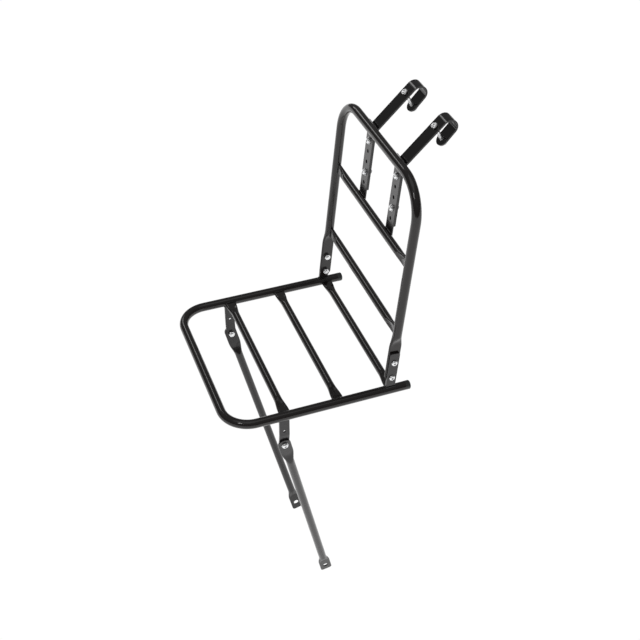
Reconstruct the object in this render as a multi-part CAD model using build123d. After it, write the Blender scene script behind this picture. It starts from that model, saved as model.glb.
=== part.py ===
from build123d import *
import os
from math import cos, pi, radians, sin, tan

# Front carrier for a bicycle: a luggage platform with a back hoop, hung from the
# handlebar by two hook arms and propped from the front axle by two stays.
# Millimetres. X runs across the bicycle with the rider's left at +X, Y runs back
# towards the rider, Z is up. Sizes are first laid out from the platform's mid-plane
# (z = 0) and the front tube's centreline (y = 0), then every piece is moved so that
# the origin is the middle of the handlebar's axis between the two hooks.

# ---- tube and plate stock ----
MAIN_D = 16.0              # platform tube and hoop tube
MAIN_WALL = 1.5
CROSS_D = 14.0             # cross tubes
CROSS_WALL = 1.2
STAY_D = 15.0              # stays
STAY_WALL = 1.2
BRACKET_T = 3.5            # plate of the stay brackets
TAB_T = 4.0                # plate of the hoop tabs
STRIP_T = 2.0              # drilled strips
ARM_T = 3.0                # flat bar of the hook arms

# ---- platform ----
RAIL_SPACING = 324.0       # rail centre to rail centre
RAIL_LENGTH = 324.5        # front tube centreline to the caps' ends
PLATFORM_CORNER_R = 48.0
FIRST_CROSS_Y = 99.0
LAST_CROSS_BACK = 33.5     # last cross tube ahead of the caps' ends
CROSS_COUNT = 3
CROSS_END_W = 20.0         # a cross tube's end, pressed wider in the frame's plane
CROSS_END_T = 5.0
CROSS_TAPER = 34.0         # length over which the round tube turns into the pressed end
CROSS_LAND = 3.0
CAP_HEAD = 9.0             # plastic cap past the steel
CAP_STEM = 14.0            # plug inside the rail
CAP_ROUND = 2.5
CAP_CLEARANCE = 0.1
CAP_RIBS = 3                # ribs round the plug, as wide as the grooves between them
CAP_RIB_W = 2.0
CAP_GROOVE = 0.8

# ---- back hoop ----
LEG_INSET = 4.0            # a leg's centre inside its rail's
HOOP_AHEAD = 38.1          # where the hoop meets the platform, ahead of the caps' ends
HOOP_LEAN = 5.07           # degrees rearward
HOOP_HEIGHT = 394.0        # platform mid-plane to the top tube's centreline, along the lean
HOOP_CORNER_R = 60.0
HOOP_CROSS_LOW = 119.0
HOOP_CROSS_DROP = 139.0    # top tube to the upper cross tube
FOOT_FLAT_W = 22.5         # flattened foot of a leg
FOOT_FLAT_T = 4.5
FOOT_FLAT_TOP = 91.0       # flat up to here
FOOT_ROUND_FROM = 117.0    # round from here up
FOOT_BOTTOM = 16.0
FOOT_BEVEL_W = 6.0
FOOT_BEVEL_H = 11.0
TAB_W = 17.0
TAB_TOP = 81.0
TAB_CORNER_R = 3.0
FOOT_BOLT_LOW = 28.5
FOOT_BOLT_HIGH = 61.0

# ---- drilled strips and hook arms ----
STRIP_X = 57.4             # strip centre from the middle of the carrier
STRIP_W = 25.0
STRIP_END_MARGIN = 7.0     # strip past the upper cross tube's centreline
STRIP_TOP_MARGIN = 2.0     # strip past the top tube's centreline
HOLE_PITCH = 20.0
HOLE_COUNT = 5
TOP_HOLE_DROP = 32.0       # top tube centreline to the first strip hole
ARM_SPAN_PITCHES = 3       # pitches between an arm's two bolts
ARM_END = 32.0             # arm below its lower bolt
ARM_END_R = 5.0
ARM_RISE = 45.0            # slope of the arm above the horizontal
ARM_BEND_UP = 20.5         # upper arm bolt to the bend
ARM_BEND_R = 9.0
BAR_D = 22.2               # handlebar
BAR_CLEARANCE = 0.2
ARM_REACH = 93.7           # bend to the foot of the perpendicular from the handlebar's axis
HOOK_OPEN = 4.0            # degrees by which the returning leg diverges
TONGUE_LENGTH = 33.0       # returning leg past the handlebar's axis
CLAMP_HOLE_D = 8.0
CLAMP_BACK = 14.5          # clamp bolt in the arm, measured back from the handlebar's axis
CLAMP_TONGUE = 22.5        # clamp bolt in the tongue, measured the same way

# ---- stay brackets and stays ----
BRACKET_INSET = 4.0        # upright part's mid-plane inside the rail's centre
BRACKET_AHEAD = 2.0        # ahead of the front cross tube's centre
BRACKET_W = 18.0
SPARE_HOLE_D = 5.3         # for M5
SPARE_HOLE_DROP = 39.0     # platform mid-plane to the spare hole
BRACKET_BEND_DROP = 49.0
PIVOT_DROP = 71.5
BRACKET_LEAN = 8.6        # degrees inward below the bend
STAY_SWEEP = 12.85         # degrees rearward at rest
STAY_LENGTH = 472.5        # pivot to axle eye
STAY_FLAT_W = 23.0
STAY_FLAT_T = 3.0
STAY_TOP_RIM = 12.5        # flat above the pivot
STAY_TOP_LAND = 23.0       # flat below the pivot
STAY_TOP_TAPER = 31.0
STAY_EYE_LAND = 17.0       # flat above the eye
STAY_EYE_TAPER = 20.0
STAY_EYE_RIM = 16.0        # flat below the eye
STAY_EYE_D = 10.5
STAY_EYE_CORNER_R = 5.0
PRESS_DIP = 2.2            # hollow that pressing leaves in the middle of a taper

# ---- fasteners (M6) ----
BOLT_D = 6.0
PLATE_HOLE_D = 6.5
PIVOT_CLEARANCE = 0.06     # radial, between a stay's hole and its bolt
FACE_GAP = 0.15            # between a stay and the faces that it turns against
HEAD_D = 10.8
HEAD_H = 3.4
HEAD_RIM = 0.8             # upright edge of the head under its dome
HEAD_FLAT_D = 5.4          # flat round the socket
SOCKET_AF = 4.0
SOCKET_DEPTH = 2.0
NUT_AF = 10.0
NUT_H = 5.0
THREAD_CLEARANCE = 0.02
WASHER_D = 12.0
WASHER_T = 1.2
BOLT_PAST_NUT = 2.0

PRESS_STEPS = 10           # stations in each pressed taper

# ---- worked out from the sizes above ----
RAIL_X = RAIL_SPACING / 2
LEG_X = RAIL_X - LEG_INSET
BRACKET_X = RAIL_X - BRACKET_INSET
BRACKET_Y = FIRST_CROSS_Y - BRACKET_AHEAD
HOOP_FOOT_Y = RAIL_LENGTH - HOOP_AHEAD
HOOP_CROSS_HIGH = HOOP_HEIGHT - HOOP_CROSS_DROP
MAIN_R = MAIN_D / 2
STRIP_BACK = MAIN_R                          # strips lie against the back of the top tube
ARM_BACK = STRIP_BACK + STRIP_T
CROSS_PITCH = (RAIL_LENGTH - LAST_CROSS_BACK - FIRST_CROSS_Y) / (CROSS_COUNT - 1)
CROSS_YS = [FIRST_CROSS_Y + i * CROSS_PITCH for i in range(CROSS_COUNT)]
TOP_HOLE = HOOP_HEIGHT - TOP_HOLE_DROP
STRIP_HOLES = [TOP_HOLE - i * HOLE_PITCH for i in range(HOLE_COUNT)]
ARM_HOLES = [TOP_HOLE, TOP_HOLE - ARM_SPAN_PITCHES * HOLE_PITCH]
TAB_FACE_X = LEG_X + FOOT_FLAT_T / 2         # the tab stands against the foot's outer face
HOOK_IN_R = BAR_D / 2 + BAR_CLEARANCE
HOOK_MID_R = HOOK_IN_R + ARM_T / 2
STAY_MID_Z = BRACKET_T / 2 + FACE_GAP + STAY_FLAT_T / 2
RISE = radians(ARM_RISE)

# The hoop's own plane: local x across, local y up along the legs, local z forward.
HOOP = Plane(origin=(0, HOOP_FOOT_Y, 0), x_dir=(1, 0, 0),
             z_dir=(0, -cos(radians(HOOP_LEAN)), sin(radians(HOOP_LEAN))))


def hoop_point(behind, along):
    """World (y, z) of a point given by its place in the hoop's plane."""
    lean = radians(HOOP_LEAN)
    return (HOOP_FOOT_Y + behind * cos(lean) + along * sin(lean),
            along * cos(lean) - behind * sin(lean))


def arm_layout():
    """Corner of the arm's mid-line, the foot of the handlebar's perpendicular, and the axis."""
    bend = hoop_point(ARM_BACK + ARM_T / 2, ARM_HOLES[0] + ARM_BEND_UP)
    foot = (bend[0] + ARM_REACH * cos(RISE), bend[1] + ARM_REACH * sin(RISE))
    axis = (foot[0] + HOOK_MID_R * sin(RISE), foot[1] - HOOK_MID_R * cos(RISE))
    return bend, foot, axis


ARM_BEND, ARM_FOOT, BAR_AXIS = arm_layout()
TO_BAR = Pos(0, -BAR_AXIS[0], -BAR_AXIS[1])


def hook_point(u, v):
    """World (y, z) of a point u up the arm and v below it, from the handlebar's axis."""
    return (BAR_AXIS[0] + u * cos(RISE) + v * sin(RISE),
            BAR_AXIS[1] + u * sin(RISE) - v * cos(RISE))


def pressed_section(d, w, t, press, dip=PRESS_DIP):
    """Section of a round tube d pressed towards a flat w by t; press runs from 0 to 1."""
    corner = d / 2 * cos(pi / 4)
    cx = corner + press * ((w - t) / 2 - corner)
    cy = corner + press * (t / 2 - corner)
    side = (d + press * (w - d)) / 2
    crown = (d + press * (t - d)) / 2 - dip * 4 * press * (1 - press)
    if press == 1:
        top = Line((-cx, cy), (cx, cy))
        bottom = Line((cx, -cy), (-cx, -cy))
    else:
        top = ThreePointArc((-cx, cy), (0, crown), (cx, cy))
        bottom = ThreePointArc((cx, -cy), (0, -crown), (-cx, -cy))
    right = ThreePointArc((cx, cy), (side, 0), (cx, -cy))
    left = ThreePointArc((-cx, -cy), (-side, 0), (-cx, cy))
    return make_face(Curve() + [top, right, bottom, left])


def pressed_end(d, w, t, taper, land):
    """End of a round tube d pressed flat: round at y = 0, w by t from y = -taper to -taper - land."""
    faces = []
    for i in range(PRESS_STEPS + 1):
        share = i / PRESS_STEPS
        press = 1 if i == PRESS_STEPS else (1 - cos(pi * share)) / 2
        station = Plane(origin=(0, -taper * share, 0), x_dir=(1, 0, 0), z_dir=(0, -1, 0))
        faces.append(station * pressed_section(d, w, t, press))
    faces.append(Pos(0, -land, 0) * faces[-1])
    spans = [loft([near, far], ruled=True) for near, far in zip(faces, faces[1:])]
    return spans[0] + spans[1:]


def corner_cutter(width, r, depth):
    """Trims the square end of a bar, at y = 0 with the bar below it, to corners of radius r."""
    over, shave = 1.0, 0.05
    kept = Pos(0, -width - shave) * RectangleRounded(width, 2 * width, min(r, width / 2 - shave))
    trimmed = Pos(0, (over - r) / 2) * Rectangle(width + 2 * over, r + over)
    return extrude(trimmed - kept, depth, both=True)


def bent_tube(points, corner_r, d, wall):
    """Round tube along a line through the points, with a bore unless wall is zero."""
    path = FilletPolyline(*points, radius=corner_r)
    end = Plane(origin=path @ 0, z_dir=path % 0)
    tube = sweep(end * Circle(d / 2), path=path)
    bore = sweep(end * Circle(d / 2 - wall), path=path)
    return tube - bore


def rail_solid(x, length=RAIL_LENGTH * 2):
    """Full-round bar in a rail's place, for coping what is welded to it."""
    return Pos(x, 0, 0) * Rot(-90, 0, 0) * Cylinder(MAIN_R, length)


def platform_tube():
    """U of tube: front tube, two corners and two side rails, open at the rear ends."""
    rear = RAIL_LENGTH - CAP_HEAD
    points = [(-RAIL_X, rear), (-RAIL_X, 0), (RAIL_X, 0), (RAIL_X, rear)]
    return bent_tube(points, PLATFORM_CORNER_R, MAIN_D, MAIN_WALL)


def cross_tube(centre_spacing, set_back=0.0):
    """Cross tube between two parallel main tubes, its ends pressed wide and coped to fit."""
    tube_x = centre_spacing / 2
    round_x = tube_x - MAIN_R - CROSS_LAND - CROSS_TAPER
    end = pressed_end(CROSS_D, CROSS_END_W, CROSS_END_T, CROSS_TAPER, CROSS_LAND + MAIN_R)
    tube = Rot(0, 90, 0) * (Cylinder(CROSS_D / 2, 2 * round_x) - Cylinder(CROSS_D / 2 - CROSS_WALL, 2 * round_x))
    tube += Pos(round_x, 0, 0) * Rot(0, 0, 90) * end
    tube += Pos(-round_x, 0, 0) * Rot(0, 0, -90) * end
    tube = Pos(0, 0, -set_back) * tube
    for x in (-tube_x, tube_x):
        tube -= rail_solid(x, CROSS_END_W * 2)
    return tube


def rail_cap():
    """Plastic cap: a rounded head as wide as the rail and a ribbed plug inside it."""
    bore_r = MAIN_R - MAIN_WALL
    head = Pos(0, 0, CAP_HEAD / 2) * Cylinder(MAIN_R, CAP_HEAD)
    head = fillet(head.edges().group_by(Axis.Z)[-1], CAP_ROUND)
    plug_r = bore_r - CAP_CLEARANCE
    plug = Pos(0, 0, -CAP_STEM / 2) * Cylinder(plug_r, CAP_STEM)
    for i in range(CAP_RIBS):
        groove_z = -CAP_STEM + CAP_RIB_W * (2 * i + 1.5)
        ring = Cylinder(MAIN_R, CAP_RIB_W) - Cylinder(plug_r - CAP_GROOVE, CAP_RIB_W)
        plug -= Pos(0, 0, groove_z) * ring
    return Pos(RAIL_X, RAIL_LENGTH - CAP_HEAD, 0) * Rot(-90, 0, 0) * (head + plug)


def leg_foot():
    """Lower end of a leg, pressed flat, bevelled and drilled; round at y = 0, flat across x."""
    taper = FOOT_ROUND_FROM - FOOT_FLAT_TOP
    length = FOOT_ROUND_FROM - FOOT_BOTTOM
    foot = pressed_end(MAIN_D, FOOT_FLAT_W, FOOT_FLAT_T, taper, length - taper)
    half = FOOT_FLAT_W / 2
    for side in (-1, 1):
        bevel = Polyline((side * half, FOOT_BEVEL_H - length), (side * (half - FOOT_BEVEL_W), -length),
                         (side * (half - FOOT_BEVEL_W), -length - 1), (side * (half + 1), -length - 1),
                         (side * (half + 1), FOOT_BEVEL_H - length), close=True)
        foot -= extrude(make_face(bevel), FOOT_FLAT_T, both=True)
    for along in (FOOT_BOLT_LOW, FOOT_BOLT_HIGH):
        foot -= Pos(0, along - FOOT_ROUND_FROM, 0) * Cylinder(PLATE_HOLE_D / 2, FOOT_FLAT_T * 2)
    return foot


def hoop_tube():
    """Back hoop: legs, corners and top tube in one bent tube with flattened feet."""
    points = [(-LEG_X, FOOT_ROUND_FROM), (-LEG_X, HOOP_HEIGHT),
              (LEG_X, HOOP_HEIGHT), (LEG_X, FOOT_ROUND_FROM)]
    hoop = bent_tube(points, HOOP_CORNER_R, MAIN_D, MAIN_WALL)
    for x in (-LEG_X, LEG_X):
        hoop += Pos(x, FOOT_ROUND_FROM, 0) * Rot(0, 90, 0) * leg_foot()
    return HOOP.location * hoop


def hoop_cross_tube(along):
    """Cross tube of the hoop, set back so that its back is level with the top tube's."""
    return HOOP.location * Pos(0, along, 0) * cross_tube(2 * LEG_X, (MAIN_D - CROSS_D) / 2)


def hoop_tab():
    """Plate welded upright on a rail, to which a leg's foot is bolted."""
    tab = Pos(TAB_FACE_X + TAB_T / 2, TAB_TOP / 2, 0) * Box(TAB_T, TAB_TOP, TAB_W)
    top = Plane(origin=(TAB_FACE_X, TAB_TOP, 0), x_dir=(0, 0, 1), z_dir=(-1, 0, 0))
    tab -= top.location * corner_cutter(TAB_W, TAB_CORNER_R, TAB_T * 2)
    for along in (FOOT_BOLT_LOW, FOOT_BOLT_HIGH):
        tab -= Pos(TAB_FACE_X, along, 0) * Rot(0, 90, 0) * Cylinder(PLATE_HOLE_D / 2, TAB_T * 3)
    return HOOP.location * tab - rail_solid(RAIL_X)


def drilled_strip():
    """Flat strip with a row of holes, welded to the backs of two hoop tubes."""
    low = HOOP_CROSS_HIGH - STRIP_END_MARGIN
    high = HOOP_HEIGHT + STRIP_TOP_MARGIN
    strip = Pos(STRIP_X, (low + high) / 2, -STRIP_BACK - STRIP_T / 2) * Box(STRIP_W, high - low, STRIP_T)
    for along in STRIP_HOLES:
        strip -= Pos(STRIP_X, along, -STRIP_BACK) * Cylinder(PLATE_HOLE_D / 2, STRIP_T * 3)
    return HOOP.location * strip


def tongue_point(u):
    """World (y, z) on the mid-line of the hook's returning leg."""
    open_angle = radians(HOOK_OPEN)
    start_u = HOOK_MID_R * sin(open_angle)
    return hook_point(u, HOOK_MID_R * cos(open_angle) + (start_u - u) * tan(open_angle))


def tongue_plane(u):
    """Plane on the tongue's mid-line: x across the bar, y towards its tip, z away from the arm."""
    y, z = tongue_point(u)
    slope = RISE + radians(HOOK_OPEN)
    return Plane(origin=(STRIP_X, y, z), x_dir=(1, 0, 0), z_dir=(0, sin(slope), -cos(slope)))


def arm_plane(u):
    """Plane on the arm's mid-line: x across the bar, z up out of its top face."""
    y, z = hook_point(u, -HOOK_MID_R)
    return Plane(origin=(STRIP_X, y, z), x_dir=(1, 0, 0), z_dir=(0, -sin(RISE), cos(RISE)))


def hook_arm():
    """Flat bar bolted behind a strip, bent back and turned over into a hook for the bar."""
    def at(point):
        return (STRIP_X, point[0], point[1])

    behind = ARM_BACK + ARM_T / 2
    low = hoop_point(behind, ARM_HOLES[1] - ARM_END)
    shank = FilletPolyline(at(low), at(ARM_BEND), at(ARM_FOOT), radius=ARM_BEND_R)
    half_turn = radians(180 - HOOK_OPEN) / 2
    crown = hook_point(HOOK_MID_R * sin(half_turn), -HOOK_MID_R * cos(half_turn))
    turn_end = tongue_point(HOOK_MID_R * sin(radians(HOOK_OPEN)))
    tip = tongue_point(-TONGUE_LENGTH)
    path = shank + ThreePointArc(at(ARM_FOOT), at(crown), at(turn_end)) + Line(at(turn_end), at(tip))
    section = Plane(origin=at(low), x_dir=(1, 0, 0), z_dir=HOOP.y_dir) * Rectangle(STRIP_W, ARM_T)
    arm = sweep(section, path=path)
    arm -= tongue_plane(-TONGUE_LENGTH).location * corner_cutter(STRIP_W, STRIP_W / 2, ARM_T)
    low_end = Plane(origin=at(low), x_dir=(-1, 0, 0), z_dir=HOOP.z_dir)
    arm -= low_end.location * corner_cutter(STRIP_W, ARM_END_R, ARM_T)
    for along in ARM_HOLES:
        y, z = hoop_point(behind, along)
        hole = Plane(origin=(STRIP_X, y, z), z_dir=HOOP.z_dir)
        arm -= hole.location * Cylinder(PLATE_HOLE_D / 2, ARM_T * 2)
    arm -= arm_plane(-CLAMP_BACK).location * Cylinder(CLAMP_HOLE_D / 2, ARM_T * 2)
    arm -= tongue_plane(-CLAMP_TONGUE).location * Cylinder(CLAMP_HOLE_D / 2, ARM_T * 2)
    return arm


# The left stay's pivot: local x rearward, y up the bracket, z out along the hinge axis.
LEAN_IN = radians(BRACKET_LEAN)
BELOW_BEND = (PIVOT_DROP - BRACKET_BEND_DROP) / cos(LEAN_IN)
PIVOT = Plane(origin=(BRACKET_X - BELOW_BEND * sin(LEAN_IN), BRACKET_Y, -PIVOT_DROP),
              x_dir=(0, 1, 0), z_dir=(cos(LEAN_IN), 0, -sin(LEAN_IN)))


def stay_bracket():
    """Plate hanging from a rail, bent inward so that the stay on it lines up with the axle."""
    rim = BELOW_BEND + BRACKET_W / 2
    points = [(BRACKET_X, BRACKET_Y, -MAIN_R / 4), (BRACKET_X, BRACKET_Y, -BRACKET_BEND_DROP),
              (BRACKET_X - rim * sin(LEAN_IN), BRACKET_Y, -BRACKET_BEND_DROP - rim * cos(LEAN_IN))]
    path = FilletPolyline(*points, radius=BRACKET_T * 3)
    section = Plane(origin=points[0], x_dir=(0, 1, 0), z_dir=(0, 0, -1)) * Rectangle(BRACKET_W, BRACKET_T)
    bracket = sweep(section, path=path)
    bracket -= PIVOT.location * Rot(0, 0, 180) * Pos(0, BRACKET_W / 2, 0) * corner_cutter(
        BRACKET_W, BRACKET_W / 2, BRACKET_T * 2)
    bracket -= PIVOT.location * Cylinder(PLATE_HOLE_D / 2, BRACKET_T * 2)
    bracket -= Pos(BRACKET_X, BRACKET_Y, -SPARE_HOLE_DROP) * Rot(0, 90, 0) * Cylinder(
        SPARE_HOLE_D / 2, BRACKET_T * 2)
    return bracket - rail_solid(RAIL_X)


def stay():
    """Stay tube with both ends pressed flat: a pivot hole above and an axle eye below."""
    top_round = STAY_TOP_LAND + STAY_TOP_TAPER
    eye_round = STAY_LENGTH - STAY_EYE_LAND - STAY_EYE_TAPER
    shaft = Cylinder(STAY_D / 2, eye_round - top_round) - Cylinder(STAY_D / 2 - STAY_WALL, eye_round - top_round)
    top = pressed_end(STAY_D, STAY_FLAT_W, STAY_FLAT_T, STAY_TOP_TAPER, STAY_TOP_LAND + STAY_TOP_RIM)
    eye = pressed_end(STAY_D, STAY_FLAT_W, STAY_FLAT_T, STAY_EYE_TAPER, STAY_EYE_LAND + STAY_EYE_RIM)
    tube = Pos(0, -(top_round + eye_round) / 2, 0) * Rot(90, 0, 0) * shaft
    tube += Pos(0, -top_round, 0) * Rot(0, 0, 180) * top
    tube += Pos(0, -eye_round, 0) * eye
    width = STAY_FLAT_W + 0.2
    tube -= Pos(0, STAY_TOP_RIM, 0) * corner_cutter(width, STAY_FLAT_W / 2, STAY_FLAT_T)
    tube -= Pos(0, -STAY_LENGTH - STAY_EYE_RIM, 0) * Rot(0, 0, 180) * corner_cutter(
        width, STAY_EYE_CORNER_R, STAY_FLAT_T)
    tube -= Cylinder(BOLT_D / 2 + PIVOT_CLEARANCE, STAY_FLAT_T * 2)
    tube -= Pos(0, -STAY_LENGTH, 0) * Cylinder(STAY_EYE_D / 2, STAY_FLAT_T * 2)
    return PIVOT.location * Pos(0, 0, STAY_MID_Z) * Rot(0, 0, STAY_SWEEP) * tube


def button_bolt(length):
    """Round-headed bolt with a hexagon socket; its head sits on z = 0, its shank points down."""
    edge = (HEAD_D / 2, HEAD_RIM)
    flat = (HEAD_FLAT_D / 2, HEAD_H)
    dome = TangentArc(flat, edge, tangent=(1, 0))
    outline = Line((0, 0), (HEAD_D / 2, 0)) + Line((HEAD_D / 2, 0), edge) + dome
    outline += Line(flat, (0, HEAD_H)) + Line((0, HEAD_H), (0, 0))
    head = revolve(Plane.XZ * make_face(outline), Axis.Z)
    socket = RegularPolygon(SOCKET_AF / 2, 6, major_radius=False)
    head -= Pos(0, 0, HEAD_H - SOCKET_DEPTH) * extrude(socket, SOCKET_DEPTH + 1)
    shank = Pos(0, 0, -length / 2) * Cylinder(BOLT_D / 2, length)
    shank = chamfer(shank.edges().group_by(Axis.Z)[0], BOLT_D / 10)
    return head + shank


def hex_nut():
    """Plain hexagon nut hanging below z = 0, with its corners turned off."""
    corner_r = NUT_AF / 2 / cos(pi / 6)
    disc = Pos(0, 0, -NUT_H / 2) * Cylinder(corner_r, NUT_H)
    disc = chamfer(disc.edges(), (corner_r - NUT_AF / 2) * 0.8)
    nut = extrude(RegularPolygon(NUT_AF / 2, 6, major_radius=False), -NUT_H) & disc
    return nut - Pos(0, 0, -NUT_H / 2) * Cylinder(BOLT_D / 2 + THREAD_CLEARANCE, NUT_H * 2)


def washer():
    """Plain washer standing on z = 0."""
    ring = Cylinder(WASHER_D / 2, WASHER_T) - Cylinder(PLATE_HOLE_D / 2, WASHER_T * 2)
    return Pos(0, 0, WASHER_T / 2) * ring


def fastened(place, grip, with_washer=False):
    """Bolt, nut and washer through a stack whose head-side face is at place, z outward."""
    lift = WASHER_T if with_washer else 0.0
    bolt = place * Pos(0, 0, lift) * button_bolt(lift + grip + NUT_H + BOLT_PAST_NUT)
    nut = place * Pos(0, 0, -grip) * hex_nut()
    return bolt, nut, place * washer()


def foot_fasteners():
    """Two bolts and nuts through the left tab and the left leg's foot."""
    bolts, nuts = [], []
    for along in (FOOT_BOLT_LOW, FOOT_BOLT_HIGH):
        place = HOOP.location * Pos(TAB_FACE_X + TAB_T, along, 0) * Rot(0, 90, 0)
        bolt, nut, _ = fastened(place, TAB_T + FOOT_FLAT_T)
        bolts.append(bolt)
        nuts.append(nut)
    return bolts, nuts


def arm_fasteners():
    """Two bolts, washers and nuts through the left strip and its hook arm."""
    bolts, nuts, washers = [], [], []
    for along in ARM_HOLES:
        place = HOOP.location * Pos(STRIP_X, along, -STRIP_BACK)
        bolt, nut, ring = fastened(place, STRIP_T + ARM_T, with_washer=True)
        bolts.append(bolt)
        nuts.append(nut)
        washers.append(ring)
    return bolts, nuts, washers


def clamp_fasteners():
    """Bolt and nut that close the left hook: tilted in clearance holes, as they hang loose."""
    arm_at = arm_plane(-CLAMP_BACK)
    tongue_at = tongue_plane(-CLAMP_TONGUE)
    axis = (arm_at.origin - tongue_at.origin)
    span = axis.length
    head_tilt = radians(axis.get_angle(arm_at.z_dir))
    nut_tilt = radians(180 - axis.get_angle(tongue_at.z_dir))
    head_up = (ARM_T / 2 + HEAD_D / 2 * sin(head_tilt)) / cos(head_tilt) + FACE_GAP
    nut_down = (ARM_T / 2 + NUT_AF / 2 / cos(pi / 6) * sin(nut_tilt)) / cos(nut_tilt) + FACE_GAP
    place = Plane(origin=arm_at.origin + axis.normalized() * head_up, x_dir=(1, 0, 0), z_dir=axis).location
    bolt, nut, _ = fastened(place, head_up + span + nut_down)
    return [bolt], [nut]


def pivot_fasteners():
    """Bolt, washer and nut that the left stay turns on."""
    grip = BRACKET_T + STAY_FLAT_T + 2 * FACE_GAP
    place = PIVOT.location * Pos(0, 0, grip - BRACKET_T / 2)
    bolt, nut, ring = fastened(place, grip, with_washer=True)
    return [bolt], [nut], [ring]


def save(name, shape):
    """Write one node, moved so that the origin is on the handlebar's axis."""
    export_step(TO_BAR * shape, f"parts/{name}.step")


def save_pair(name, shape):
    """Write a left piece and its mirror image on the right."""
    save(name + "_left", shape)
    save(name + "_right", mirror(shape, about=Plane.YZ))


def save_group(name, solids):
    """Write the left fasteners and their mirror images as separate solids of one node."""
    save(name, Compound(solids + [mirror(solid, about=Plane.YZ) for solid in solids]))


os.makedirs("parts", exist_ok=True)

save("platform_tube", platform_tube())
for place_name, cross_y in zip(("front", "middle", "rear"), CROSS_YS):
    save("platform_cross_tube_" + place_name, Pos(0, cross_y, 0) * cross_tube(RAIL_SPACING))
save_pair("rail_cap", rail_cap())
save_pair("hoop_tab", hoop_tab())
save_pair("stay_bracket", stay_bracket())

save("hoop_tube", hoop_tube())
save("hoop_cross_tube_lower", hoop_cross_tube(HOOP_CROSS_LOW))
save("hoop_cross_tube_upper", hoop_cross_tube(HOOP_CROSS_HIGH))
save_pair("drilled_strip", drilled_strip())
save_pair("hook_arm", hook_arm())
save_pair("stay", stay())

foot_bolts, foot_nuts = foot_fasteners()
save_group("foot_bolts", foot_bolts)
save_group("foot_nuts", foot_nuts)
arm_bolts, arm_nuts, arm_washers = arm_fasteners()
save_group("arm_bolts", arm_bolts)
save_group("arm_nuts", arm_nuts)
save_group("arm_washers", arm_washers)
clamp_bolts, clamp_nuts = clamp_fasteners()
save_group("clamp_bolts", clamp_bolts)
save_group("clamp_nuts", clamp_nuts)
pivot_bolts, pivot_nuts, pivot_washers = pivot_fasteners()
save_group("pivot_bolts", pivot_bolts)
save_group("pivot_nuts", pivot_nuts)
save_group("pivot_washers", pivot_washers)
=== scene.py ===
from math import cos, pi, radians, sin, sqrt, tau

import bmesh
import bpy
from mathutils import Matrix, Vector


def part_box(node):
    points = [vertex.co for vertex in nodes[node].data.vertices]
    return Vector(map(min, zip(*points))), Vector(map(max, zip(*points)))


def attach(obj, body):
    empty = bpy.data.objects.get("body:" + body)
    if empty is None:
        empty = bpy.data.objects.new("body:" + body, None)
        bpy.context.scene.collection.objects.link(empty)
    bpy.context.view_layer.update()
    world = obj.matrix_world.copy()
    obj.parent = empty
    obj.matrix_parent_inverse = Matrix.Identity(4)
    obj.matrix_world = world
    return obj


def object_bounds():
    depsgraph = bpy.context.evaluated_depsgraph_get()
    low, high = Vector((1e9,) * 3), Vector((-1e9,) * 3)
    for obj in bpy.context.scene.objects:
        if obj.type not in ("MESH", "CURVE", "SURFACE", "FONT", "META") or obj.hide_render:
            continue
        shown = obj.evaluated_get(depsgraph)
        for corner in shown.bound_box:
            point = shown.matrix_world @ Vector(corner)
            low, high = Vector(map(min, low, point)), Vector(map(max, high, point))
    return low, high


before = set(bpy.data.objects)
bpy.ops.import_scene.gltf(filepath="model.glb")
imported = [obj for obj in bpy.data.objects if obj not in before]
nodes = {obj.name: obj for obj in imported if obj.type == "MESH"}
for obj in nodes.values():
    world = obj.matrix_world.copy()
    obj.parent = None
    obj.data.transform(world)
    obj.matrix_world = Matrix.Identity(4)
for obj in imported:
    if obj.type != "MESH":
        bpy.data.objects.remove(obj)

cad_low, cad_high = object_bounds()

# Gloss enamel of the tubes. The real tubes are degreased, sprayed black after welding and stoved,
# so the film is smooth with a faint orange peel, and holds a few specks of dust.


def value_input(group, name, default):
    socket = group.interface.new_socket(name=name, in_out="INPUT", socket_type="NodeSocketFloat")
    socket.default_value = default


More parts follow.
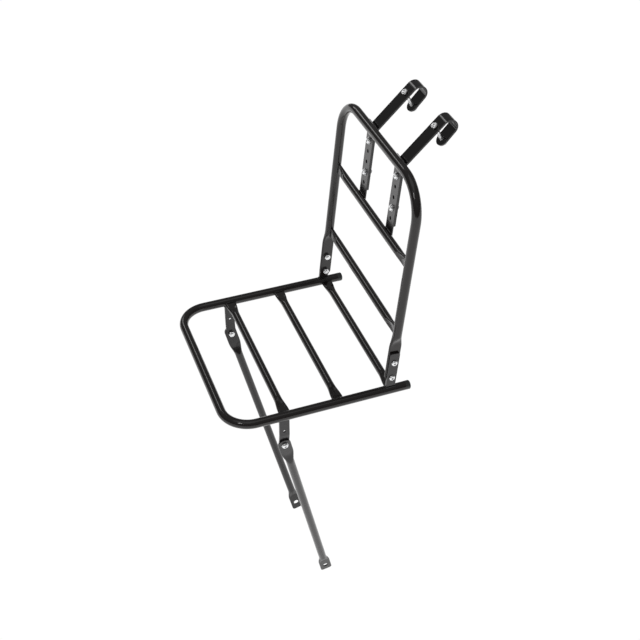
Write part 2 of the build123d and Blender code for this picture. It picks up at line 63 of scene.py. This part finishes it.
def enamel_film():
    """Group: base colour, roughness and normal of a sprayed and stoved enamel film."""
    group = bpy.data.node_groups.new("enamel film", "ShaderNodeTree")
    colour = group.interface.new_socket(name="Enamel", in_out="INPUT",
                                        socket_type="NodeSocketColor")
    colour.default_value = (0.02, 0.02, 0.02, 1)
    value_input(group, "Gloss low", 0.14)
    value_input(group, "Gloss high", 0.24)
    value_input(group, "Peel size", 650)
    value_input(group, "Peel depth", 0.12)
    value_input(group, "Dust", 0.5)
    group.interface.new_socket(name="Color", in_out="OUTPUT", socket_type="NodeSocketColor")
    group.interface.new_socket(name="Roughness", in_out="OUTPUT", socket_type="NodeSocketFloat")
    group.interface.new_socket(name="Normal", in_out="OUTPUT", socket_type="NodeSocketVector")
    new, link = group.nodes.new, group.links.new
    given, made = new("NodeGroupInput"), new("NodeGroupOutput")
    place = new("ShaderNodeTexCoord")

    # the peel: low swells with a finer ripple on them
    swell = new("ShaderNodeTexNoise")
    swell.inputs["Detail"].default_value = 2.5
    swell.inputs["Roughness"].default_value = 0.45
    link(place.outputs["Object"], swell.inputs["Vector"])
    link(given.outputs["Peel size"], swell.inputs["Scale"])
    bump = new("ShaderNodeBump")
    bump.inputs["Distance"].default_value = 0.0006
    link(swell.outputs["Fac"], bump.inputs["Height"])
    link(given.outputs["Peel depth"], bump.inputs["Strength"])
    link(bump.outputs["Normal"], made.inputs["Normal"])

    # the gloss: patches where the film dried a little thinner
    patch = new("ShaderNodeTexNoise")
    patch.inputs["Scale"].default_value = 42
    patch.inputs["Detail"].default_value = 4
    link(place.outputs["Object"], patch.inputs["Vector"])
    gloss = new("ShaderNodeMapRange")
    gloss.inputs["From Min"].default_value = 0.3
    gloss.inputs["From Max"].default_value = 0.7
    link(patch.outputs["Fac"], gloss.inputs["Value"])
    link(given.outputs["Gloss low"], gloss.inputs["To Min"])
    link(given.outputs["Gloss high"], gloss.inputs["To Max"])

    # the dust: small grains that are paler and duller than the film
    grain = new("ShaderNodeTexVoronoi")
    grain.inputs["Scale"].default_value = 420
    link(place.outputs["Object"], grain.inputs["Vector"])
    speck = new("ShaderNodeMapRange")
    speck.inputs["From Min"].default_value = 0.16
    speck.inputs["From Max"].default_value = 0.07
    link(grain.outputs["Distance"], speck.inputs["Value"])
    drift = new("ShaderNodeMapRange")
    drift.inputs["From Min"].default_value = 0.52
    drift.inputs["From Max"].default_value = 0.66
    link(patch.outputs["Fac"], drift.inputs["Value"])
    dust = new("ShaderNodeMath")
    dust.operation = "MULTIPLY"
    link(speck.outputs["Result"], dust.inputs[0])
    link(drift.outputs["Result"], dust.inputs[1])
    share = new("ShaderNodeMath")
    share.operation = "MULTIPLY"
    link(dust.outputs["Value"], share.inputs[0])
    link(given.outputs["Dust"], share.inputs[1])
    tint = new("ShaderNodeMix")
    tint.data_type = "RGBA"
    tint.inputs["B"].default_value = (0.16, 0.155, 0.15, 1)
    link(share.outputs["Value"], tint.inputs["Factor"])
    link(given.outputs["Enamel"], tint.inputs["A"])
    link(tint.outputs["Result"], made.inputs["Color"])
    dull = new("ShaderNodeMath")
    dull.operation = "MULTIPLY_ADD"
    dull.inputs[1].default_value = 0.3
    link(share.outputs["Value"], dull.inputs[0])
    link(gloss.outputs["Result"], dull.inputs[2])
    link(dull.outputs["Value"], made.inputs["Roughness"])
    return group


ENAMEL_FILM = enamel_film()


def finish_of(name):
    """A new material and its Principled shader."""
    material = bpy.data.materials.new(name)
    material.use_nodes = True
    return material, material.node_tree.nodes["Principled BSDF"]


def enamel(name, colour, gloss_low, gloss_high, peel_size, peel_depth, dust):
    """Black enamel: the shared film with this piece's colour, gloss and peel; the colour of stays
    and plates holds painted sheen, that of hooks and welds painted shade.
    """
    material, shader = finish_of(name)
    film = material.node_tree.nodes.new("ShaderNodeGroup")
    film.node_tree = ENAMEL_FILM
    film.inputs["Enamel"].default_value = (*colour, 1)
    film.inputs["Gloss low"].default_value = gloss_low
    film.inputs["Gloss high"].default_value = gloss_high
    film.inputs["Peel size"].default_value = peel_size
    film.inputs["Peel depth"].default_value = peel_depth
    film.inputs["Dust"].default_value = dust
    link = material.node_tree.links.new
    link(film.outputs["Color"], shader.inputs["Base Color"])
    link(film.outputs["Roughness"], shader.inputs["Roughness"])
    link(film.outputs["Normal"], shader.inputs["Normal"])
    return material


def coat(material, slot, *names):
    """Give CAD nodes their finish; the slot argument is not used."""
    for name in names:
        piece = nodes[name]
        piece.data.materials.clear()
        piece.data.materials.append(material)


TUBE_ENAMEL = enamel("tube enamel", (0.0095, 0.0072, 0.0068), gloss_low=0.1, gloss_high=0.17,
                     peel_size=620, peel_depth=0.1, dust=0.5)
coat(TUBE_ENAMEL, "tube_enamel", "platform_tube", "platform_cross_tube_front",
     "platform_cross_tube_middle", "platform_cross_tube_rear", "hoop_tube",
     "hoop_cross_tube_lower", "hoop_cross_tube_upper")

# Stays. They are slightly thinner tube, sprayed with the same black, but hang lowest on the line,
# so the film runs thicker and has a longer peel. Their paler colour is painted sheen of the lit
# floor.

STAY_ENAMEL_PAINTED_SHEEN = enamel("stay enamel with painted sheen", (0.0125, 0.011, 0.0115), gloss_low=0.16, gloss_high=0.26,
                     peel_size=430, peel_depth=0.14, dust=0.8)
coat(STAY_ENAMEL_PAINTED_SHEEN, "tube_enamel", "stay_left", "stay_right")

# Drilled strips, tabs and stay brackets. They are stamped from flat plate, so the film lies on a
# rolled skin and shows a slightly coarser peel. Their paler colour is a painted reflection of the
# bright floor.

PLATE_ENAMEL_PAINTED_REFLECTION = enamel("plate enamel with painted reflection", (0.016, 0.0145, 0.015), gloss_low=0.18, gloss_high=0.28,
                      peel_size=500, peel_depth=0.16, dust=0.7)
coat(PLATE_ENAMEL_PAINTED_REFLECTION, "plate_enamel", "drilled_strip_left", "drilled_strip_right",
     "hoop_tab_left", "hoop_tab_right", "stay_bracket_left", "stay_bracket_right")

# Hook arms. They are flat bar bent twice and painted on their own, and the glossiest pieces; their
# blacker colour is painted shade, as their faces turn up to the dim upper room.

HOOK_ENAMEL_PAINTED_SHADE = enamel("hook enamel with painted shade", (0.0055, 0.005, 0.005), gloss_low=0.09, gloss_high=0.15,
                     peel_size=560, peel_depth=0.1, dust=0.4)
coat(HOOK_ENAMEL_PAINTED_SHADE, "hook_enamel", "hook_arm_left", "hook_arm_right")

# Bolts, nuts and washers. They are cold-headed steel, zinc plated and clear passivated: bright
# and nearly white, with a cloudy film and the fine dimples of tumbling in a barrel.


def zinc_plate():
    material, shader = finish_of("zinc plate")
    new, link = material.node_tree.nodes.new, material.node_tree.links.new
    shader.inputs["Metallic"].default_value = 1.0
    place = new("ShaderNodeTexCoord")
    cloud = new("ShaderNodeTexNoise")
    cloud.inputs["Scale"].default_value = 260
    cloud.inputs["Detail"].default_value = 5
    link(place.outputs["Object"], cloud.inputs["Vector"])
    film = new("ShaderNodeMix")
    film.data_type = "RGBA"
    film.inputs["A"].default_value = (0.7, 0.72, 0.76, 1)
    film.inputs["B"].default_value = (0.86, 0.85, 0.82, 1)
    link(cloud.outputs["Fac"], film.inputs["Factor"])
    link(film.outputs["Result"], shader.inputs["Base Color"])
    haze = new("ShaderNodeMapRange")
    haze.inputs["To Min"].default_value = 0.2
    haze.inputs["To Max"].default_value = 0.46
    link(cloud.outputs["Fac"], haze.inputs["Value"])
    link(haze.outputs["Result"], shader.inputs["Roughness"])
    dimple = new("ShaderNodeTexNoise")
    dimple.inputs["Scale"].default_value = 2400
    dimple.inputs["Detail"].default_value = 2
    link(place.outputs["Object"], dimple.inputs["Vector"])
    bump = new("ShaderNodeBump")
    bump.inputs["Strength"].default_value = 0.12
    bump.inputs["Distance"].default_value = 0.0002
    link(dimple.outputs["Fac"], bump.inputs["Height"])
    link(bump.outputs["Normal"], shader.inputs["Normal"])
    return material


ZINC = zinc_plate()
coat(ZINC, "zinc_steel", "foot_bolts", "foot_nuts", "arm_bolts", "arm_nuts", "arm_washers",
     "clamp_bolts", "clamp_nuts", "pivot_bolts", "pivot_nuts", "pivot_washers")

# Rail caps. They are moulded in black polyethylene and pushed into the rails: duller than the
# enamel, very slightly green, with a fine moulded grain and paler scuffs.


def moulded_plastic():
    material, shader = finish_of("cap plastic")
    new, link = material.node_tree.nodes.new, material.node_tree.links.new
    place = new("ShaderNodeTexCoord")
    grain = new("ShaderNodeTexNoise")
    grain.inputs["Scale"].default_value = 1500
    grain.inputs["Detail"].default_value = 3
    link(place.outputs["Object"], grain.inputs["Vector"])
    bump = new("ShaderNodeBump")
    bump.inputs["Strength"].default_value = 0.3
    bump.inputs["Distance"].default_value = 0.0003
    link(grain.outputs["Fac"], bump.inputs["Height"])
    link(bump.outputs["Normal"], shader.inputs["Normal"])
    scuff = new("ShaderNodeTexNoise")
    scuff.inputs["Scale"].default_value = 190
    scuff.inputs["Detail"].default_value = 6
    scuff.inputs["Distortion"].default_value = 1.2
    link(place.outputs["Object"], scuff.inputs["Vector"])
    rub = new("ShaderNodeMapRange")
    rub.inputs["From Min"].default_value = 0.5
    rub.inputs["From Max"].default_value = 0.75
    link(scuff.outputs["Fac"], rub.inputs["Value"])
    tint = new("ShaderNodeMix")
    tint.data_type = "RGBA"
    tint.inputs["A"].default_value = (0.019, 0.021, 0.02, 1)
    tint.inputs["B"].default_value = (0.05, 0.053, 0.051, 1)
    link(rub.outputs["Result"], tint.inputs["Factor"])
    link(tint.outputs["Result"], shader.inputs["Base Color"])
    dull = new("ShaderNodeMapRange")
    dull.inputs["To Min"].default_value = 0.36
    dull.inputs["To Max"].default_value = 0.55
    link(rub.outputs["Result"], dull.inputs["Value"])
    link(dull.outputs["Result"], shader.inputs["Roughness"])
    return material


coat(moulded_plastic(), "cap_plastic", "rail_cap_left", "rail_cap_right")

# Welds of the platform's cross tubes. Each pressed end is laid against the rail and welded all
# round, a row of small overlapping puddles that the enamel then covers.

platform_low, platform_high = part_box("platform_tube")
MAIN_R = (platform_high.z - platform_low.z) / 2
RAIL_X = platform_high.x - MAIN_R
RAIL_Z = (platform_high.z + platform_low.z) / 2
BEAD_R = 0.0014
PUDDLE = 0.0021
BEAD_SIDES = 12
STATIONS_PER_PUDDLE = 5
PUDDLE_FOOT, PUDDLE_CROWN = 0.86, 0.2
WAVER, WAVER_TURN = 0.03, 1.7
END_TAPER = 0.15
PRESSED_SQUARENESS = 0.5


def spaced(points, closed, step):
    """Points at an even spacing along a line through the given points."""
    line = points + points[:1] if closed else points
    lengths = [(b - a).length for a, b in zip(line, line[1:])]
    count = max(8, round(sum(lengths) / step))
    found, piece, gone = [], 0, 0.0
    for i in range(count if closed else count + 1):
        want = sum(lengths) * i / count
        while piece < len(lengths) - 1 and gone + lengths[piece] < want:
            gone += lengths[piece]
            piece += 1
        share = min(1.0, (want - gone) / lengths[piece])
        found.append(line[piece].lerp(line[piece + 1], share))
    return found


def object_of(name, mesh, material):
    """A closed bmesh as an object in the scene, its faces turned outward."""
    bmesh.ops.recalc_face_normals(mesh, faces=mesh.faces)
    data = bpy.data.meshes.new(name)
    mesh.to_mesh(data)
    mesh.free()
    data.materials.append(material)
    piece = bpy.data.objects.new(name, data)
    bpy.context.scene.collection.objects.link(piece)
    return piece


def weld(name, points, closed, radius=BEAD_R):
    """A bead along the points, swelling at every puddle; an open bead tapers at its ends."""
    line = spaced(points, closed, PUDDLE / STATIONS_PER_PUDDLE)
    count = len(line)
    mesh = bmesh.new()
    rings = []
    side = None
    for i, point in enumerate(line):
        before = line[i - 1] if closed or i else line[i]
        after = line[(i + 1) % count] if closed or i + 1 < count else line[i]
        ahead = (after - before).normalized()
        side = ahead.orthogonal() if side is None else side - ahead * side.dot(ahead)
        side = side.normalized()
        across = ahead.cross(side)
        phase = (i / STATIONS_PER_PUDDLE) % 1.0
        swell = radius * (PUDDLE_FOOT + PUDDLE_CROWN * sqrt(1 - phase * phase)
                          + WAVER * sin(i * WAVER_TURN))
        if not closed:
            from_end = min(i, count - 1 - i) / STATIONS_PER_PUDDLE
            swell *= sqrt(min(1.0, END_TAPER + from_end))
        rings.append([mesh.verts.new(point + swell * (side * cos(tau * k / BEAD_SIDES)
                                                      + across * sin(tau * k / BEAD_SIDES)))
                      for k in range(BEAD_SIDES)])
    pairs = list(zip(rings, rings[1:])) + ([(rings[-1], rings[0])] if closed else [])
    for near, far in pairs:
        turn = 0
        if closed and near is rings[-1]:
            turn = min(range(BEAD_SIDES), key=lambda k: (far[k].co - near[0].co).length)
        for k in range(BEAD_SIDES):
            j = (k + 1) % BEAD_SIDES
            mesh.faces.new((near[k], near[j],
                            far[(j + turn) % BEAD_SIDES], far[(k + turn) % BEAD_SIDES]))
    if not closed:
        mesh.faces.new(rings[0])
        mesh.faces.new(rings[-1])
    piece = object_of(name, mesh, WELD_ENAMEL_PAINTED_SHADE)
    for face in piece.data.polygons:
        face.use_smooth = True
    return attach(piece, "carrier")


def pressed_outline(half_wide, half_thick, count=64):
    """Points round a pressed tube end: (along its width, through its thickness)."""
    turn = [tau * i / count for i in range(count)]
    return [(half_wide * cos(t),
             half_thick * (1 if sin(t) > 0 else -1) * abs(sin(t)) ** PRESSED_SQUARENESS)
            for t in turn]


# The welds' blacker enamel is painted shade in the joints between the parts.
WELD_ENAMEL_PAINTED_SHADE = enamel("weld enamel with painted shade", (0.006, 0.0056, 0.0058), gloss_low=0.14, gloss_high=0.24,
                     peel_size=900, peel_depth=0.2, dust=0.3)
PRESSED_THICK = 0.0058
for place in ("front", "middle", "rear"):
    low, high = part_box("platform_cross_tube_" + place)
    middle = (low + high) / 2
    outline = pressed_outline((high.y - low.y) / 2, PRESSED_THICK / 2)
    for side, hand in ((1, "left"), (-1, "right")):
        ring = [Vector((side * (RAIL_X - sqrt(MAIN_R ** 2 - z * z)), middle.y + y, middle.z + z))
                for y, z in outline]
        weld(f"weld_cross_tube_{place}_{hand}", ring, True)

# Welds of the hoop's cross tubes. They are the same joint, but turned into the plane of the
# hoop, which leans back towards the rider, and set back so that the tubes' backs are level.

LEAN = radians(5.07)
UP_HOOP = Vector((0, sin(LEAN), cos(LEAN)))
OUT_OF_HOOP = Vector((0, -cos(LEAN), sin(LEAN)))
hoop_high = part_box("hoop_tube")[1]
LEG_X = hoop_high.x - MAIN_R
lower_low, lower_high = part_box("hoop_cross_tube_lower")
upper_low, upper_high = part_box("hoop_cross_tube_upper")
CROSS_R = 0.007
SET_BACK = MAIN_R - CROSS_R
front_low, front_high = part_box("platform_cross_tube_front")
PRESSED_WIDE = front_high.y - front_low.y
for place, low, high in (("lower", lower_low, lower_high), ("upper", upper_low, upper_high)):
    middle = (low + high) / 2
    middle.x = 0
    outline = pressed_outline(PRESSED_WIDE / 2, PRESSED_THICK / 2)
    for side, hand in ((1, "left"), (-1, "right")):
        ring = []
        for along, out in outline:
            reach = LEG_X - sqrt(MAIN_R ** 2 - (out - SET_BACK) ** 2)
            ring.append(middle + Vector((side * reach, 0, 0)) + UP_HOOP * along + OUT_OF_HOOP * out)
        weld(f"weld_hoop_cross_tube_{place}_{hand}", ring, True)

# Welds of the drilled strips. A strip lies against the backs of the top tube and the upper cross
# tube, and short beads fill the narrow V between flat and tube.

upper_middle = (upper_low + upper_high) / 2
TUBES_APART = 0.139
SEAM_SHARE = 0.52
STRIP_BEAD_R = BEAD_R * 0.9
BACK = upper_middle - OUT_OF_HOOP * CROSS_R
for side, hand in ((1, "left"), (-1, "right")):
    low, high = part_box("drilled_strip_" + hand)
    half = (high.x - low.x) / 2 - BEAD_R
    centre_x = (high.x + low.x) / 2
    for place, along, radius in (("top", TUBES_APART, MAIN_R), ("upper", 0.0, CROSS_R)):
        for name, way in (("under", -1), ("over", 1)):
            if place == "top" and way > 0:
                continue
            off = radius * SEAM_SHARE
            gap = radius - sqrt(radius ** 2 - off ** 2)
            centre = BACK + UP_HOOP * (along + way * off) + OUT_OF_HOOP * (gap / 2)
            ends = [Vector((centre_x + s * half, centre.y, centre.z)) for s in (-1, 1)]
            weld(f"weld_strip_{place}_{name}_{hand}", ends, False, STRIP_BEAD_R)

# Welds of the hoop tabs and the stay brackets. Both are plates set edge-on against a rail, above
# and below it, with a bead right round the plate's edge.

STAND_OFF = BEAD_R * 0.3
CORNER_SHARE = 0.7
CORNER_STEPS = 6


def plate_on_rail(side, plate_x, plate_y, thick, wide, upward):
    """Points round a plate's edge where it meets the rail's surface."""
    ring = []
    half_t, half_w = thick / 2 + STAND_OFF, wide / 2 + STAND_OFF
    corner = min(half_t, half_w) * CORNER_SHARE
    for cx, cy, start in ((1, 1, 0), (-1, 1, 1), (-1, -1, 2), (1, -1, 3)):
        for step in range(CORNER_STEPS + 1):
            t = (start + step / CORNER_STEPS) * pi / 2
            x = plate_x + cx * (half_t - corner) + corner * cos(t)
            y = plate_y + cy * (half_w - corner) + corner * sin(t)
            drop = sqrt(max(0.0, MAIN_R ** 2 - (x - RAIL_X) ** 2))
            ring.append(Vector((side * x, y, RAIL_Z + (drop if upward else -drop))))
    return ring


TAB_THICK, TAB_WIDE = 0.004, 0.017
BRACKET_THICK = 0.0035
tab_low, tab_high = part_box("hoop_tab_left")
bracket_low, bracket_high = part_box("stay_bracket_left")
tab_x = tab_high.x - TAB_THICK / 2
tab_y = tab_low.y + TAB_WIDE / 2 * cos(LEAN)
bracket_x = bracket_high.x - BRACKET_THICK / 2
bracket_y = (bracket_low.y + bracket_high.y) / 2
bracket_wide = bracket_high.y - bracket_low.y
for side, hand in ((1, "left"), (-1, "right")):
    weld("weld_tab_" + hand,
         plate_on_rail(side, tab_x, tab_y, TAB_THICK, TAB_WIDE, True), True)
    weld("weld_bracket_" + hand,
         plate_on_rail(side, bracket_x, bracket_y, BRACKET_THICK, bracket_wide, False), True)

# Threads on the bolts' ends. The bolts are rolled M6 with a pitch of one millimetre; the thread
# shows past each nut, and all along the two long bolts that close the hooks.

THREAD_R = 0.0031
THREAD_ROOT = 0.0029
PITCH = 0.001
TURN_SIDES = 28
ROOT_HALF, CREST_HALF = 0.42, 0.06
RUN_OUT = 0.2
TIP_CHAMFER = 0.0005
HEAD_SKIN = 0.0006


def solids_of(node):
    """The separate solids of a CAD node, each as its corner points."""
    mesh = nodes[node].data
    home = list(range(len(mesh.vertices)))

    def root(i):
        while home[i] != i:
            home[i] = home[home[i]]
            i = home[i]
        return i

    same_place = {}
    for vertex in mesh.vertices:
        key = tuple(round(c, 6) for c in vertex.co)
        home[root(vertex.index)] = root(same_place.setdefault(key, vertex.index))
    for edge in mesh.edges:
        a, b = edge.vertices
        home[root(a)] = root(b)
    found = {}
    for vertex in mesh.vertices:
        found.setdefault(root(vertex.index), []).append(vertex.co.copy())
    return list(found.values())


def middle_of(points):
    low = Vector([min(p[i] for p in points) for i in range(3)])
    high = Vector([max(p[i] for p in points) for i in range(3)])
    return (low + high) / 2


def thread(name, tip, up_bolt, reach):
    """A helical ridge that starts at a bolt's tip and runs up its shank."""
    side = up_bolt.orthogonal().normalized()
    across = up_bolt.cross(side)
    mesh = bmesh.new()
    profile = [(THREAD_ROOT, -ROOT_HALF), (THREAD_R, -CREST_HALF),
               (THREAD_R, CREST_HALF), (THREAD_ROOT, ROOT_HALF)]
    steps = round(reach / PITCH * TURN_SIDES)
    rings = []
    for i in range(steps + 1):
        t = tau * i / TURN_SIDES
        out = side * cos(t) + across * sin(t)
        fade = min(1.0, i / TURN_SIDES + RUN_OUT, (steps - i) / TURN_SIDES + RUN_OUT)
        rise = TIP_CHAMFER + PITCH * i / TURN_SIDES
        ring = [THREAD_ROOT + (r - THREAD_ROOT) * fade for r, _ in profile]
        rings.append([mesh.verts.new(tip + out * r + up_bolt * (rise + PITCH * h))
                      for r, (_, h) in zip(ring, profile)])
    for near, far in zip(rings, rings[1:]):
        for k in range(len(profile)):
            j = (k + 1) % len(profile)
            mesh.faces.new((near[k], near[j], far[j], far[k]))
    mesh.faces.new(rings[0])
    mesh.faces.new(rings[-1])
    piece = object_of(name, mesh, ZINC)
    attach(piece, "carrier")


THREAD_PAST_NUT = 0.0062
CLAMP_THREAD = 0.026
for group, reach in (("foot", THREAD_PAST_NUT), ("arm", THREAD_PAST_NUT),
                     ("pivot", THREAD_PAST_NUT), ("clamp", CLAMP_THREAD)):
    bolts = solids_of(group + "_bolts")
    for number, nut in enumerate(solids_of(group + "_nuts"), 1):
        nut_at = middle_of(nut)
        bolt = min(bolts, key=lambda points: min((p - nut_at).length for p in points))
        farthest = max((p - nut_at).length for p in bolt)
        head = middle_of([p for p in bolt if (p - nut_at).length > farthest - HEAD_SKIN])
        up_bolt = (head - nut_at).normalized()
        tip = nut_at + up_bolt * min((p - nut_at).dot(up_bolt) for p in bolt)
        thread(f"thread_{group}_{number}", tip, up_bolt, reach)

# Studio. The carrier hangs just clear of a seamless white sweep that glows paper white, under a
# broad soft light, with a small key that draws the tubes' bends and a weak fill.

PAPER = 1.02
FLOOR_GLOW = 1.2
bpy.context.scene.view_settings.view_transform = "Standard"


def sweep_surface():
    material, shader = finish_of("white sweep")
    new, link = material.node_tree.nodes.new, material.node_tree.links.new
    material.node_tree.nodes.remove(shader)
    out = material.node_tree.nodes["Material Output"]
    seen = new("ShaderNodeLightPath")
    paper = new("ShaderNodeEmission")
    paper.inputs["Strength"].default_value = PAPER
    lit = new("ShaderNodeEmission")
    lit.inputs["Strength"].default_value = FLOOR_GLOW
    mix = new("ShaderNodeMixShader")
    link(seen.outputs["Is Camera Ray"], mix.inputs["Fac"])
    link(lit.outputs["Emission"], mix.inputs[1])
    link(paper.outputs["Emission"], mix.inputs[2])
    link(mix.outputs["Shader"], out.inputs["Surface"])
    return material


def sweep_floor():
    reach, gap = 14.0, 0.004
    z = cad_low.z - gap
    data = bpy.data.meshes.new("sweep")
    corners = [(-reach, -reach, z), (reach, -reach, z), (reach, reach, z), (-reach, reach, z)]
    data.from_pydata(corners, [], [(0, 1, 2, 3)])
    data.materials.append(sweep_surface())
    floor = bpy.data.objects.new("sweep", data)
    bpy.context.scene.collection.objects.link(floor)


def room():
    world = bpy.data.worlds.new("studio")
    bpy.context.scene.world = world
    world.use_nodes = True
    new, link = world.node_tree.nodes.new, world.node_tree.links.new
    shade = world.node_tree.nodes["Background"]
    out = world.node_tree.nodes["World Output"]
    place = new("ShaderNodeTexCoord")
    split = new("ShaderNodeSeparateXYZ")
    link(place.outputs["Generated"], split.inputs["Vector"])
    height = new("ShaderNodeMapRange")
    height.inputs["From Min"].default_value = 0.0
    height.inputs["From Max"].default_value = 0.75
    height.inputs["To Min"].default_value = 0.12
    height.inputs["To Max"].default_value = 0.3
    link(split.outputs["Z"], height.inputs["Value"])
    link(height.outputs["Result"], shade.inputs["Strength"])
    shade.inputs["Color"].default_value = (1, 1, 1, 1)
    paper = new("ShaderNodeBackground")
    paper.inputs["Strength"].default_value = PAPER
    seen = new("ShaderNodeLightPath")
    mix = new("ShaderNodeMixShader")
    link(seen.outputs["Is Camera Ray"], mix.inputs["Fac"])
    link(shade.outputs["Background"], mix.inputs[1])
    link(paper.outputs["Background"], mix.inputs[2])
    link(mix.outputs["Shader"], out.inputs["Surface"])


def soft_light(name, at, aim, width, height, watts):
    data = bpy.data.lights.new(name, "AREA")
    data.shape = "RECTANGLE"
    data.size = width
    data.size_y = height
    data.energy = watts
    lamp = bpy.data.objects.new(name, data)
    lamp.location = at
    lamp.rotation_euler = (Vector(aim) - Vector(at)).to_track_quat("-Z", "Y").to_euler()
    bpy.context.scene.collection.objects.link(lamp)


sweep_floor()
room()
centre = (cad_low + cad_high) / 2
soft_light("overhead", (0.2, -0.5, 2.6), centre, width=2.2, height=2.2, watts=8)
soft_light("key", (1.1, -1.6, 1.6), centre, width=0.25, height=0.5, watts=6)
soft_light("fill", (-1.9, -0.6, 1.1), centre, width=0.4, height=1.0, watts=4)

# Camera. A long lens looks down from the front left, turned half a degree.

AZIMUTH, ELEVATION, ROLL = radians(69.23), radians(39.86), radians(0.5)
CAMERA_AT = Vector((1.4451, -0.7352, 0.9000))
back = Vector((sin(AZIMUTH) * cos(ELEVATION), -cos(AZIMUTH) * cos(ELEVATION), sin(ELEVATION)))
right = Vector((cos(AZIMUTH), sin(AZIMUTH), 0))
up = back.cross(right)
camera = bpy.data.objects.new("camera", bpy.data.cameras.new("camera"))
camera.data.sensor_width = 36
camera.data.lens = 63.754
rolled_right = right * cos(ROLL) + up * sin(ROLL)
rolled_up = up * cos(ROLL) - right * sin(ROLL)
turn = Matrix((rolled_right, rolled_up, back)).transposed()
camera.matrix_world = Matrix.Translation(CAMERA_AT) @ turn.to_4x4()
bpy.context.scene.collection.objects.link(camera)
bpy.context.scene.camera = camera
